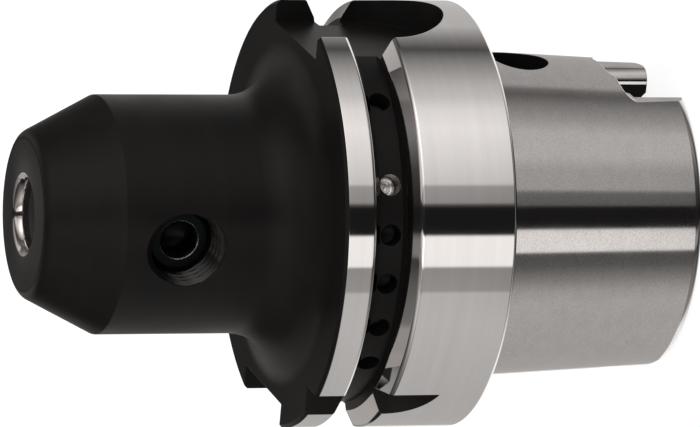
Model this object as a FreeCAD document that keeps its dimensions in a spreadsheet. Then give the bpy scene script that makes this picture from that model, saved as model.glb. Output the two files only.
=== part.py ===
import FreeCAD
import Part
import Sketcher

import math
import os

# Side lock end mill holder with a hollow taper shank of size 63, for tools with a 10 mm flatted shank.
#
# All lengths are in millimetres. The holder stands on the rear end of its shank: the origin is the centre
# of that end face, +Z runs along the axis to the nose, +X is the side of the clamping screw and +Y the side
# of the wider flange slot.

SHEET_NAME = "sizes"

# name in the sheet, value, what it measures
SIZES = [
    ("shank_length", 32.0, "contact face to rear end of the shank"),
    ("gauge_diameter", 48.01, "taper at the gauge plane"),
    ("gauge_offset", 6.3, "gauge plane behind the contact face"),
    ("taper_ratio", 9.98, "length over which the diameter changes by one"),
    ("rear_chamfer", 1.3, "outer edge of the rear end"),
    ("root_relief_width", 0.7, "grinding relief in the foot of the taper"),
    ("root_relief_depth", 0.35, "grinding relief in the foot of the taper"),
    ("face_relief_width", 0.8, "grinding relief in the contact face, outside the taper"),
    ("face_relief_depth", 0.2, "grinding relief in the contact face"),
    ("flange_diameter", 63.0, "gripper flange"),
    ("flange_width", 26.0, "contact face to front face of the flange"),
    ("flange_chamfer", 0.5, "outer edges of the flange"),
    ("vee_offset", 18.0, "contact face to the middle of the vee groove"),
    ("vee_mouth_width", 7.5, "vee groove at the flange diameter"),
    ("vee_edge_chamfer", 0.5, "edges of the vee groove"),
    ("vee_bottom_diameter", 55.4, "flat bottom of the vee groove"),
    ("vee_bottom_width", 3.6, "flat bottom of the vee groove"),
    ("vee_root_height", 1.3, "steep walls between the bottom of the vee groove and its flanks"),
    ("vee_flank_angle", 30.0, "each flank from the plane across the axis"),
    ("nose_reach", 65.0, "contact face to nose face"),
    ("barrel_diameter", 35.0, "cylindrical neck"),
    ("flare_radius", 8.0, "hollow between the flange face and the neck"),
    ("nose_face_diameter", 24.1, "front of the nose"),
    ("nose_cone_length", 10.6, "conical part of the nose"),
    ("nose_edge_chamfer", 0.7, "edge of the nose face"),
    ("tool_bore_diameter", 10.0, "bore for the tool shank"),
    ("tool_bore_depth", 41.0, "bore for the tool shank, from the nose face"),
    ("tool_bore_chamfer", 1.1, "mouth of the tool bore"),
    ("through_bore_diameter", 8.0, "coolant way behind the tool bore"),
    ("coolant_thread_core", 17.0, "core of the M18x1 thread for a coolant tube"),
    ("coolant_thread_length", 12.0, "from the floor of the shank cavity"),
    ("coolant_thread_chamfer", 1.0, "mouth of the thread"),
    ("drill_point_angle", 30.0, "cone at the end of the thread core, from the plane across the axis"),
    ("cavity_diameter", 34.0, "mouth of the shank cavity"),
    ("cavity_chamfer", 1.0, "edge of the cavity mouth"),
    ("clamp_land_length", 10.5, "rear end to the start of the clamping shoulder"),
    ("clamp_recess_diameter", 37.0, "recess for the gripper fingers"),
    ("clamp_shoulder_angle", 30.0, "shoulder that the gripper fingers pull on, from the axis"),
    ("clamp_recess_end", 22.0, "rear end to the end of the recess"),
    ("cavity_floor_diameter", 30.0, "floor of the shank cavity"),
    ("cavity_depth", 26.0, "rear end to the floor of the cavity"),
    ("drive_slot_width", 12.54, "drive slots across the rear end"),
    ("drive_slot_depth", 10.4, "drive slots from the rear end"),
    ("drive_slot_corner", 1.5, "inner corners of the drive slots"),
    ("drive_flat_depth", 1.7, "flats beside the drive slots, below the taper at the rear end"),
    ("drive_flat_length", 9.6, "flats from the rear end"),
    ("drive_edge_radius", 3.0, "rounding from the walls of the drive slots to the flats"),
    ("access_hole_diameter", 9.0, "radial hole for a hand clamping key"),
    ("access_hole_offset", 8.8, "contact face to the middle of the hole"),
    ("wide_slot_width", 20.0, "flange slot on the +Y side"),
    ("narrow_slot_width", 18.0, "flange slot on the -Y side"),
    ("flange_slot_floor", 5.0, "flange diameter to the floor of both flange slots"),
    ("flange_slot_reach", 11.8, "front face to the middle of the round slot ends"),
    ("notch_floor", 11.5, "flange diameter to the floor of the orientation notch"),
    ("notch_wall", 11.5, "flange diameter to the wall of the orientation notch"),
    ("notch_end_radius", 8.0, "round end of the orientation notch"),
    ("balance_hole_diameter", 3.1, "drilled in the bottom of the vee groove"),
    ("balance_hole_depth", 3.0, "below the bottom of the vee groove"),
    ("balance_row_angle", 64.0, "first hole of the row, from +Y towards +X"),
    ("balance_row_pitch", 15.0, "between holes of the row"),
    ("balance_single_angle", 37.0, "hole that stands apart, from +Y towards +X"),
    ("screw_setback", 20.0, "nose face to the clamping screw"),
    ("screw_hole_diameter", 10.0, "M10 thread, left smooth"),
    ("screw_sink_diameter", 12.1, "countersink at the neck surface"),
    ("screw_clearance", 0.05, "screw to hole, on the radius"),
    ("screw_length", 7.15, "set screw"),
    ("screw_tip_clearance", 0.25, "tip of the screw to the tool bore"),
    ("screw_tip_chamfer", 1.4, "tip of the screw"),
    ("screw_top_chamfer", 0.8, "outer end of the screw"),
    ("hex_across_flats", 5.0, "socket of the screw"),
    ("hex_depth", 4.5, "socket of the screw"),
    ("hex_mouth_diameter", 6.3, "bevel round the socket"),
]

BALANCE_ROW_COUNT = 5
MARGIN = 2.0  # how far cutting shapes reach past the surfaces that they open


class Size:
    """A length or angle that knows its number and the sheet expression that it comes from."""

    def __init__(self, value, text):
        self.value = value
        self.text = text

    def _join(self, other, result, pattern):
        if not isinstance(other, Size):
            other = Size(float(other), repr(float(other)))
        return Size(result(self.value, other.value), pattern.format(self.text, other.text))

    def __add__(self, other):
        return self._join(other, lambda a, b: a + b, "({} + {})")

    def __sub__(self, other):
        return self._join(other, lambda a, b: a - b, "({} - {})")

    def __mul__(self, other):
        return self._join(other, lambda a, b: a * b, "({} * {})")

    def __truediv__(self, other):
        return self._join(other, lambda a, b: a / b, "({} / {})")

    def __neg__(self):
        return Size(-self.value, "(-{})".format(self.text))


def tangent(angle):
    return Size(math.tan(math.radians(angle.value)), "tan({} * 1 deg)".format(angle.text))


def sine(angle):
    return Size(math.sin(math.radians(angle.value)), "sin({} * 1 deg)".format(angle.text))


def cosine(angle):
    return Size(math.cos(math.radians(angle.value)), "cos({} * 1 deg)".format(angle.text))


ZERO = Size(0.0, "0")
PAST = Size(MARGIN, repr(MARGIN))
QUARTER_TURN = Size(90.0, "90")
HALF_FACET = Size(30.0, "30")  # from the middle of a hexagon's side to its corner


def make_sheet(doc):
    """Writes the driving sizes and returns them by name."""
    sheet = doc.addObject("Spreadsheet::Sheet", SHEET_NAME)
    found = {}
    for row, (name, value, meaning) in enumerate(SIZES, start=1):
        sheet.set("A{}".format(row), meaning)
        sheet.set("B{}".format(row), str(value))
        sheet.setAlias("B{}".format(row), name)
        found[name] = Size(value, "{}.{}".format(SHEET_NAME, name))
    doc.recompute()
    return found


def bind(thing, path, size):
    """Ties one property to the sheet."""
    thing.setExpression(path, size.text)


def origin_feature(body, role):
    for feature in body.Origin.OriginFeatures:
        if feature.Role == role:
            return feature
    raise ValueError("the body has no " + role)


def add_sketch(body, name, role, offset=None):
    """A sketch on an origin plane of the body, moved along the plane's normal by offset."""
    sketch = body.newObject("Sketcher::SketchObject", name)
    sketch.AttachmentSupport = [(origin_feature(body, role), "")]
    sketch.MapMode = "FlatFace"
    if offset is not None:
        bind(sketch, "AttachmentOffset.Base.z", offset)
    return sketch


def fix_point(sketch, curve, position, across, along):
    """Ties one point of a curve to its distances from the sketch origin."""
    for kind, axis, size in (("DistanceX", -2, across), ("DistanceY", -1, along)):
        if size is ZERO:
            sketch.addConstraint(Sketcher.Constraint("PointOnObject", curve, position, axis))
        else:
            number = sketch.addConstraint(
                Sketcher.Constraint(kind, -1, 1, curve, position, size.value)
            )
            bind(sketch, "Constraints[{}]".format(number), size)


def draw_polygon(sketch, corners, arcs=None):
    """A closed outline through the corners; arcs gives {side number: (centre, radius)} for round sides."""
    arcs = arcs or {}
    count = len(corners)
    first = sketch.GeometryCount
    points = [FreeCAD.Vector(across.value, along.value, 0) for across, along in corners]
    ends = []
    for side in range(count):
        start, end = points[side], points[(side + 1) % count]
        if side in arcs:
            centre, radius = arcs[side]
            middle = FreeCAD.Vector(centre[0].value, centre[1].value, 0)
            angles = [math.atan2(p.y - middle.y, p.x - middle.x) for p in (start, end)]
            turn = (angles[1] - angles[0]) % (2 * math.pi)
            forward = turn < math.pi
            if not forward:
                angles.reverse()
            circle = Part.Circle(middle, FreeCAD.Vector(0, 0, 1), radius.value)
            sketch.addGeometry(Part.ArcOfCircle(circle, angles[0], angles[1]), False)
            ends.append((1, 2) if forward else (2, 1))
        else:
            sketch.addGeometry(Part.LineSegment(start, end), False)
            ends.append((1, 2))
    for side in range(count):
        after = (side + 1) % count
        sketch.addConstraint(
            Sketcher.Constraint(
                "Coincident", first + side, ends[side][1], first + after, ends[after][0]
            )
        )
    for side, (across, along) in enumerate(corners):
        fix_point(sketch, first + side, ends[side][0], across, along)
    for side, (_, radius) in arcs.items():
        number = sketch.addConstraint(Sketcher.Constraint("Radius", first + side, radius.value))
        bind(sketch, "Constraints[{}]".format(number), radius)


def draw_open_slot(sketch, across, along, radius, mouth):
    """A slot outline with a round end about (across, along) and straight sides up to the mouth."""
    left = across.value - radius.value
    right = across.value + radius.value
    middle = FreeCAD.Vector(across.value, along.value, 0)
    circle = Part.Circle(middle, FreeCAD.Vector(0, 0, 1), radius.value)
    end = sketch.addGeometry(Part.ArcOfCircle(circle, math.pi, 2 * math.pi), False)
    corners = [
        FreeCAD.Vector(right, along.value, 0),
        FreeCAD.Vector(right, mouth.value, 0),
        FreeCAD.Vector(left, mouth.value, 0),
        FreeCAD.Vector(left, along.value, 0),
    ]
    sides = [
        sketch.addGeometry(Part.LineSegment(corners[n], corners[n + 1]), False) for n in range(3)
    ]
    sketch.addConstraint(Sketcher.Constraint("Tangent", end, 2, sides[0], 1))
    sketch.addConstraint(Sketcher.Constraint("Coincident", sides[0], 2, sides[1], 1))
    sketch.addConstraint(Sketcher.Constraint("Coincident", sides[1], 2, sides[2], 1))
    sketch.addConstraint(Sketcher.Constraint("Tangent", sides[2], 2, end, 1))
    sketch.addConstraint(Sketcher.Constraint("Vertical", sides[0]))
    sketch.addConstraint(Sketcher.Constraint("Horizontal", sides[1]))
    fix_point(sketch, end, 3, across, along)
    number = sketch.addConstraint(Sketcher.Constraint("Radius", end, radius.value))
    bind(sketch, "Constraints[{}]".format(number), radius)
    number = sketch.addConstraint(
        Sketcher.Constraint("DistanceY", -1, 1, sides[0], 2, mouth.value)
    )
    bind(sketch, "Constraints[{}]".format(number), mouth)


def draw_circle(sketch, across, along, radius):
    circle = Part.Circle(
        FreeCAD.Vector(across.value, along.value, 0), FreeCAD.Vector(0, 0, 1), radius.value
    )
    curve = sketch.addGeometry(circle, False)
    fix_point(sketch, curve, 3, across, along)
    number = sketch.addConstraint(Sketcher.Constraint("Radius", curve, radius.value))
    bind(sketch, "Constraints[{}]".format(number), radius)


def turn_profile(body, kind, name, sketch):
    """A full turn of the sketch about its vertical axis, adding or cutting."""
    feature = body.newObject("PartDesign::" + kind, name)
    feature.Profile = sketch
    feature.ReferenceAxis = (sketch, ["V_Axis"])
    feature.Angle = 360
    return feature


def cut_pocket(body, name, sketch, length, reverse=False, both_ways=False):
    """Cuts the sketch away along its plane's normal; the volume has to go down."""
    body.Document.recompute()
    before = body.Shape.Volume
    feature = body.newObject("PartDesign::Pocket", name)
    feature.Profile = sketch
    feature.Midplane = both_ways
    feature.Reversed = reverse
    bind(feature, "Length", length)
    body.Document.recompute()
    if body.Shape.Volume >= before:
        raise RuntimeError(name + " cuts nothing")
    return feature


def shank_radius(size, station):
    """Radius of the taper at a height above the rear end."""
    behind_gauge = size["shank_length"] - size["gauge_offset"] - station
    return (size["gauge_diameter"] - behind_gauge / size["taper_ratio"]) / 2


def stations(size):
    """Heights above the rear end that several features share."""
    contact = size["shank_length"]
    return {
        "contact": contact,
        "front": contact + size["flange_width"],
        "vee": contact + size["vee_offset"],
        "nose": contact + size["nose_reach"],
        "screw": contact + size["nose_reach"] - size["screw_setback"],
        "slot": contact + size["flange_width"] - size["flange_slot_reach"],
    }


def turn_outside(body, size, at):
    flange = size["flange_diameter"] / 2
    edge = size["flange_chamfer"]
    rear_edge = size["rear_chamfer"]
    barrel = size["barrel_diameter"] / 2
    nose = size["nose_face_diameter"] / 2
    rim = size["nose_edge_chamfer"]
    flare = size["flare_radius"]
    relief_start = at["contact"] - size["root_relief_width"]
    relief = shank_radius(size, at["contact"]) - size["root_relief_depth"]
    face_start = shank_radius(size, at["contact"]) + size["face_relief_width"]
    face_relief = at["contact"] + size["face_relief_depth"]
    cone_start = at["nose"] - size["nose_cone_length"]
    cone_slope = (barrel - nose) / size["nose_cone_length"]
    corners = [
        (ZERO, ZERO),
        (shank_radius(size, rear_edge) - rear_edge, ZERO),
        (shank_radius(size, rear_edge), rear_edge),
        (shank_radius(size, relief_start), relief_start),
        (relief, relief_start + size["root_relief_depth"]),
        (relief, face_relief),
        (face_start, face_relief),
        (face_start, at["contact"]),
        (flange - edge, at["contact"]),
        (flange, at["contact"] + edge),
        (flange, at["front"] - edge),
        (flange - edge, at["front"]),
        (barrel + flare, at["front"]),
        (barrel, at["front"] + flare),
        (barrel, cone_start),
        (nose + rim * cone_slope, at["nose"] - rim),
        (nose - rim, at["nose"]),
        (ZERO, at["nose"]),
    ]
    flare_side = 12
    sketch = add_sketch(body, "outside_profile", "XZ_Plane")
    draw_polygon(sketch, corners, {flare_side: ((barrel + flare, at["front"] + flare), flare)})
    turn_profile(body, "Revolution", "outside", sketch)


def turn_vee_groove(body, size, at):
    flange = size["flange_diameter"] / 2
    edge = size["vee_edge_chamfer"]
    bottom = size["vee_bottom_diameter"] / 2
    mouth = size["vee_mouth_width"] / 2
    flank = mouth - edge
    root = bottom + size["vee_root_height"]
    foot = flank - (flange - edge - root) * tangent(size["vee_flank_angle"])
    floor = size["vee_bottom_width"] / 2
    corners = [
        (flange + PAST, at["vee"] - mouth - PAST),
        (flange + PAST, at["vee"] + mouth + PAST),
        (flange, at["vee"] + mouth),
        (flange - edge, at["vee"] + flank),
        (root, at["vee"] + foot),
        (bottom, at["vee"] + floor),
        (bottom, at["vee"] - floor),
        (root, at["vee"] - foot),
        (flange - edge, at["vee"] - flank),
        (flange, at["vee"] - mouth),
    ]
    sketch = add_sketch(body, "vee_profile", "XZ_Plane")
    draw_polygon(sketch, corners)
    turn_profile(body, "Groove", "vee_groove", sketch)


def bore_inside(body, size, at):
    """Shank cavity, coolant tube thread, coolant way and tool bore in one turned outline."""
    mouth = size["cavity_diameter"] / 2
    mouth_edge = size["cavity_chamfer"]
    recess = size["clamp_recess_diameter"] / 2
    land_end = size["clamp_land_length"]
    shoulder_end = land_end + (recess - mouth) / tangent(size["clamp_shoulder_angle"])
    floor = size["cavity_floor_diameter"] / 2
    thread = size["coolant_thread_core"] / 2
    thread_edge = size["coolant_thread_chamfer"]
    thread_end = size["cavity_depth"] + size["coolant_thread_length"]
    way = size["through_bore_diameter"] / 2
    point = (thread - way) * tangent(size["drill_point_angle"])
    tool = size["tool_bore_diameter"] / 2
    tool_edge = size["tool_bore_chamfer"]
    tool_end = at["nose"] - size["tool_bore_depth"]
    corners = [
        (ZERO, -PAST),
        (mouth + mouth_edge + PAST, -PAST),
        (mouth, mouth_edge),
        (mouth, land_end),
        (recess, shoulder_end),
        (recess, size["clamp_recess_end"]),
        (floor, size["cavity_depth"]),
        (thread + thread_edge, size["cavity_depth"]),
        (thread, size["cavity_depth"] + thread_edge),
        (thread, thread_end),
        (way, thread_end + point),
        (way, tool_end - (tool - way)),
        (tool, tool_end),
        (tool, at["nose"] - tool_edge),
        (tool + tool_edge + PAST, at["nose"] + PAST),
        (ZERO, at["nose"] + PAST),
    ]
    sketch = add_sketch(body, "inside_profile", "XZ_Plane")
    draw_polygon(sketch, corners)
    turn_profile(body, "Groove", "inside", sketch)


def mill_flange_slots(body, size, at):
    """The two drive slots in the flange, each with the round end that an end mill leaves."""
    mouth = at["front"] + MARGIN
    floor = size["flange_diameter"] / 2 - size["flange_slot_floor"]
    depth = size["flange_slot_floor"] + MARGIN
    for name, width, offset, reverse in (
        ("wide_flange_slot", size["wide_slot_width"], -floor, False),
        ("narrow_flange_slot", size["narrow_slot_width"], floor, True),
    ):
        sketch = add_sketch(body, name + "_outline", "XZ_Plane", offset)
        draw_open_slot(sketch, ZERO, at["slot"], width / 2, mouth)
        cut_pocket(body, name, sketch, depth, reverse)


def mill_orientation_notch(body, size, at):
    flange = size["flange_diameter"] / 2
    radius = size["notch_end_radius"]
    middle = flange - size["notch_wall"] + radius
    sketch = add_sketch(body, "orientation_notch_outline", "XZ_Plane", flange - size["notch_floor"])
    draw_open_slot(sketch, middle, at["slot"], radius, at["front"] + MARGIN)
    cut_pocket(body, "orientation_notch", sketch, size["notch_floor"] + MARGIN, reverse=True)


def mill_drive_slots(body, size):
    """Two slots across the rear end of the shank, rounded into the flats on both sides of each."""
    half = size["drive_slot_width"] / 2
    corner = size["drive_slot_corner"]
    depth = size["drive_slot_depth"]
    shoulder = depth - corner
    corners = [
        (-half, -PAST),
        (half, -PAST),
        (half, shoulder),
        (half - corner, depth),
        (corner - half, depth),
        (-half, shoulder),
    ]
    arcs = {
        2: ((half - corner, shoulder), corner),
        4: ((corner - half, shoulder), corner),
    }
    sketch = add_sketch(body, "drive_slot_outline", "XZ_Plane")
    draw_polygon(sketch, corners, arcs)
    cut_pocket(body, "drive_slots", sketch, size["flange_diameter"], both_ways=True)

    flat = shank_radius(size, ZERO) - size["drive_flat_depth"]
    outer = shank_radius(size, size["drive_flat_length"]) + MARGIN
    edge = size["drive_edge_radius"]
    sketch = add_sketch(body, "drive_flat_outline", "XY_Plane", -PAST)
    for side in (1, -1):
        corners = [
            (-outer, flat * side),
            (-half - edge, flat * side),
            (-half, (flat - edge) * side),
            (half, (flat - edge) * side),
            (half + edge, flat * side),
            (outer, flat * side),
            (outer, outer * side),
            (-outer, outer * side),
        ]
        rounded = {
            1: ((-half - edge, (flat - edge) * side), edge),
            3: ((half + edge, (flat - edge) * side), edge),
        }
        draw_polygon(sketch, corners, rounded)
    cut_pocket(body, "drive_flats", sketch, size["drive_flat_length"] + PAST, reverse=True)


def drill_access_hole(body, size, at):
    start = size["cavity_floor_diameter"] / 2
    sketch = add_sketch(body, "access_hole_outline", "XZ_Plane", -start)
    height = at["contact"] - size["access_hole_offset"]
    draw_circle(sketch, ZERO, height, size["access_hole_diameter"] / 2)
    cut_pocket(body, "access_hole", sketch, size["gauge_diameter"] / 2 - start + MARGIN)


def place_radial(feature, angle, distance, height):
    """Stands a cutting cylinder on a point of the axis distance away, pointing outwards at the angle
    from +Y towards +X."""
    base = "vector({}; {}; {})".format(
        (distance * sine(angle)).text, (distance * cosine(angle)).text, height.text
    )
    turn = "rotation(vector(0; 0; 1); {}) * rotation(vector(1; 0; 0); -90)".format((-angle).text)
    feature.setExpression("Placement", "placement({}; {})".format(base, turn))


def drill_balance_holes(body, size, at):
    bottom = size["vee_bottom_diameter"] / 2
    for name, angle in (
        ("balance_hole_apart", size["balance_single_angle"]),
        ("balance_hole_row_start", size["balance_row_angle"]),
    ):
        hole = body.newObject("PartDesign::SubtractiveCylinder", name)
        bind(hole, "Radius", size["balance_hole_diameter"] / 2)
        bind(hole, "Height", size["balance_hole_depth"] + MARGIN)
        place_radial(hole, angle, bottom - size["balance_hole_depth"], at["vee"])
        body.Document.recompute()
    row = body.newObject("PartDesign::PolarPattern", "balance_hole_row")
    row.Originals = [hole]
    row.Axis = (origin_feature(body, "Z_Axis"), [""])
    row.Reversed = True
    row.Occurrences = BALANCE_ROW_COUNT
    bind(row, "Angle", size["balance_row_pitch"] * (BALANCE_ROW_COUNT - 1))
    body.Tip = row


def drill_screw_hole(body, size, at):
    """Radial hole for the clamping screw, with a right-angled countersink."""
    radius = size["screw_hole_diameter"] / 2
    start = size["tool_bore_diameter"] / 2 - MARGIN
    surface = size["barrel_diameter"] / 2
    sink = size["screw_sink_diameter"] / 2
    hole = body.newObject("PartDesign::SubtractiveCylinder", "screw_hole")
    bind(hole, "Radius", radius)
    bind(hole, "Height", surface - start + MARGIN)
    place_radial(hole, QUARTER_TURN, start, at["screw"])
    body.Document.recompute()
    cone = body.newObject("PartDesign::SubtractiveCone", "screw_hole_countersink")
    bind(cone, "Radius1", radius)
    bind(cone, "Radius2", sink + MARGIN)
    bind(cone, "Height", sink - radius + MARGIN)
    place_radial(cone, QUARTER_TURN, surface - sink + radius, at["screw"])


def build_holder(doc, size):
    at = stations(size)
    body = doc.addObject("PartDesign::Body", "holder_body")
    body.Label = "holder_body"
    turn_outside(body, size, at)
    turn_vee_groove(body, size, at)
    bore_inside(body, size, at)
    mill_flange_slots(body, size, at)
    mill_orientation_notch(body, size, at)
    mill_drive_slots(body, size)
    drill_access_hole(body, size, at)
    drill_balance_holes(body, size, at)
    drill_screw_hole(body, size, at)
    return body


def build_screw(doc, size):
    """Set screw with a hexagon socket, drawn upright from its tip and then laid along +X."""
    body = doc.addObject("PartDesign::Body", "clamping_screw")
    body.Label = "clamping_screw"
    radius = size["screw_hole_diameter"] / 2 - size["screw_clearance"]
    length = size["screw_length"]
    tip = size["screw_tip_chamfer"]
    top = size["screw_top_chamfer"]
    mouth = size["hex_mouth_diameter"] / 2
    flat = size["hex_across_flats"] / 2
    corners = [
        (ZERO, ZERO),
        (radius - tip, ZERO),
        (radius, tip),
        (radius, length - top),
        (radius - top, length),
        (mouth, length),
        (flat, length - (mouth - flat) / 2),
        (ZERO, length - (mouth - flat) / 2),
    ]
    sketch = add_sketch(body, "screw_profile", "XZ_Plane")
    draw_polygon(sketch, corners)
    turn_profile(body, "Revolution", "screw_blank", sketch)

    sketch = add_sketch(body, "socket_outline", "XY_Plane", length)
    across = flat / cosine(HALF_FACET)
    half = across / 2
    hexagon = [
        (-flat, -half),
        (ZERO, -across),
        (flat, -half),
        (flat, half),
        (ZERO, across),
        (-flat, half),
    ]
    draw_polygon(sketch, hexagon)
    cut_pocket(body, "socket", sketch, size["hex_depth"])

    at = stations(size)
    body.Placement = FreeCAD.Placement(
        FreeCAD.Vector(0, 0, 0), FreeCAD.Rotation(FreeCAD.Vector(0, 1, 0), 90)
    )
    bind(body, "Placement.Base.x", size["tool_bore_diameter"] / 2 + size["screw_tip_clearance"])
    bind(body, "Placement.Base.z", at["screw"])
    return body


def check_document(doc, bodies):
    for thing in doc.Objects:
        bad = [state for state in thing.State if state in ("Invalid", "Error")]
        if bad:
            raise RuntimeError("{} is {}".format(thing.Name, bad))
    for body in bodies:
        shape = body.Shape
        if shape.isNull() or not shape.isValid() or len(shape.Solids) != 1:
            raise RuntimeError(body.Label + " is not one valid solid")


def main():
    doc = FreeCAD.newDocument("end_mill_holder")
    size = make_sheet(doc)
    bodies = [build_holder(doc, size), build_screw(doc, size)]
    doc.recompute()
    check_document(doc, bodies)
    os.makedirs("parts", exist_ok=True)
    for body in bodies:
        body.Shape.exportStep("parts/{}.step".format(body.Label))
        box = body.Shape.BoundBox
        print(
            "{}: volume {:.1f} mm3, x {:.2f} to {:.2f}, y {:.2f} to {:.2f}, z {:.2f} to {:.2f}".format(
                body.Label, body.Shape.Volume, box.XMin, box.XMax, box.YMin, box.YMax, box.ZMin, box.ZMax
            )
        )


main()
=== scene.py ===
import math
from collections import namedtuple

import bmesh
import bpy
import numpy as np
from bpy.props import FloatProperty, FloatVectorProperty, PointerProperty
from mathutils import Matrix, Vector


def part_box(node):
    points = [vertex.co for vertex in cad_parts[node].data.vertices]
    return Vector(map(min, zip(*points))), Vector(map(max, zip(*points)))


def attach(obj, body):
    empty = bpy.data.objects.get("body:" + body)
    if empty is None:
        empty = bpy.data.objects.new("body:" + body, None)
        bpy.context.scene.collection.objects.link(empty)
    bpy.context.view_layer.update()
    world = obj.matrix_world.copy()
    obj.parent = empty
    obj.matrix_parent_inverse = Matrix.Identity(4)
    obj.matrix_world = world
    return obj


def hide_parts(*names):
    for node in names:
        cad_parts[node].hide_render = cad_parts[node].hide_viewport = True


bl_info = {
    "name": "Side Lock End Mill Holder",
    "version": (1, 0, 0),
    "blender": (4, 5, 0),
    "location": "View3D > Sidebar > Holder",
    "description": "Dresses the packed end mill holder: turned body, clamping screw and studio",
    "category": "Add Mesh",
}

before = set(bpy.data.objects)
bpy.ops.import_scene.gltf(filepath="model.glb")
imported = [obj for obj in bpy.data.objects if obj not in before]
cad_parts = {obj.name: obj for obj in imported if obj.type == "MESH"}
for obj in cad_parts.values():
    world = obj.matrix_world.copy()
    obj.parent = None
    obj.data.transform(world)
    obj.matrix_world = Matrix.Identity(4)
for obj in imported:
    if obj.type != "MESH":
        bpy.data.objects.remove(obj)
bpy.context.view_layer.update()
_, BODY_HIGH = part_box("holder_body")
SCREW_LOW, SCREW_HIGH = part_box("clamping_screw")

MM = 0.001
TURN_STEPS = 540  # facets round the axis
GAUGE_DEPTH = 6.3 * MM  # gauge plane of the taper behind the contact face
TAPER_RATIO = 9.98
GROOVE_HEIGHT = 18 * MM  # middle of the groove above the contact face
HOLE_BEARINGS = (37, 64, 79, 94, 109, 124)  # balancing holes, degrees from +Y towards +X
FRESH_HOLE = 64
POINT = 1e-6  # radius of a cutter at its point
FINISHES = (
    "ground_flange",
    "ground_shank",
    "black_oxide",
    "bored_steel",
    "milled_steel",
    "polished_lug",
    "fresh_drilled",
    "oiled_thread",
    "screw_black",
    "worn_edge_and_glint",
    "bore_wall_painted_shade",
    "nose_oxide",
)
GROUND, SHANK, BLACK, BORED, MILLED, LUG, DRILLED, THREAD, SCREW, WORN_AND_GLINT, BORE_PAINTED_SHADE, NOSE = range(len(FINISHES))


def length(label, meaning, value):
    """A size property, given in millimetres and kept in metres."""
    return FloatProperty(
        name=label, description=meaning, default=value * MM, min=0.0, unit="LENGTH", precision=5
    )


def shade(label, meaning, value):
    return FloatVectorProperty(
        name=label, description=meaning, default=value, size=3, min=0.0, max=1.0, subtype="COLOR"
    )


def share(label, meaning, value):
    return FloatProperty(
        name=label, description=meaning, default=value, min=0.0, max=1.0, subtype="FACTOR"
    )


def angle(label, meaning, degrees):
    return FloatProperty(
        name=label, description=meaning, default=math.radians(degrees), subtype="ANGLE"
    )


def brightness(label, meaning, value):
    return FloatProperty(name=label, description=meaning, default=value, min=0.0)


class HolderSizes(bpy.types.PropertyGroup):
    height: length("Height", "Rear end to nose face", BODY_HIGH.z / MM)
    flange_diameter: length("Flange", "Gripper flange", 2 * BODY_HIGH.x / MM)
    contact_height: length("Contact face", "Rear end to contact face", 32.0)
    flange_width: length("Flange width", "Contact face to front of the flange", 26.0)
    gauge_diameter: length("Gauge diameter", "Taper at its gauge plane", 48.01)
    groove_bottom: length("Groove bottom", "Diameter in the bottom of the gripper groove", 55.4)
    neck_diameter: length("Neck", "Cylindrical neck", 35.0)
    flare_radius: length("Flare", "Hollow between flange and neck", 8.0)
    nose_diameter: length("Nose face", "Front of the nose", 24.1)
    nose_cone: length("Nose cone", "Length of the conical nose", 10.6)
    tool_bore: length("Tool bore", "Bore for the tool", 10.0)
    edge_break: length("Edge break", "Rounding of the turned edges", 0.1)
    nose_rounding: length("Nose rounding", "Rounding of the front edge", 1.7)
    rear_rounding: length("Rear rounding", "Rounding of the rear end", 1.35)
    slot_edge: length("Slot edge", "Rounding of the milled edges", 0.13)
    screw_setback: length("Screw setback", "Nose face to clamping screw", 20.0)
    screw_hole: length("Screw hole", "Major diameter of the screw thread", 10.0)
    screw_sink: length("Countersink", "Countersink of the screw hole", 12.4)
    thread_pitch: length("Thread pitch", "Pitch of the clamping screw", 1.5)
    hexagon: length("Hexagon", "Socket across flats", 5.0)


class HolderFinish(bpy.types.PropertyGroup):
    ground_light: shade("Ground steel", "Flange and ring after grinding", (0.72, 0.705, 0.695))
    ground_dark: shade("Ground steel, dark", "Low spots of the ground steel", (0.68, 0.664, 0.654))
    shank_light: shade("Shank steel", "Fine ground taper", (0.70, 0.683, 0.672))
    shank_dark: shade("Shank steel, dark", "Grain of the taper", (0.56, 0.54, 0.53))
    oxide: shade("Black oxide", "Oxide on turned steel", (0.0092, 0.0084, 0.0080))
    oxide_worn: shade("Black oxide, thin", "Where the oxide is thinner", (0.0120, 0.0108, 0.0100))
    milled: shade("Milled steel", "Bare milled faces of the shank", (0.55, 0.535, 0.525))
    ground_roughness: share("Ground roughness", "Gloss of the ground flange", 0.055)
    shank_roughness: share("Shank roughness", "Gloss of the ground taper", 0.085)
    oxide_roughness: share("Oxide roughness", "Gloss of the black oxide", 0.38)


class HolderStudio(bpy.types.PropertyGroup):
    lens: FloatProperty(
        name="Lens",
        description="Focal length",
        default=343.04,
        unit="CAMERA",
        subtype="DISTANCE_CAMERA",
    )
    distance: length("Distance", "Camera to the middle of the holder", 983.4)
    target: length("Target height", "Point of the axis that the camera looks at", 47.05)
    elevation: angle("Elevation", "Camera above the plane across the axis", 18.32)
    turn: angle("Turn", "Camera round the axis, from the clamping screw", 17.5)
    roll: angle("Roll", "Camera about its own line of sight", -0.188)
    room_light: brightness("Room light", "Even light of the studio", 0.9)
    panel_light: brightness("Panel light", "Light panels as polished steel shows them", 1.0)


# Meshes


def angle_between(a, b):
    return math.acos(max(-1.0, min(1.0, float(np.dot(a, b)))))


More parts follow.
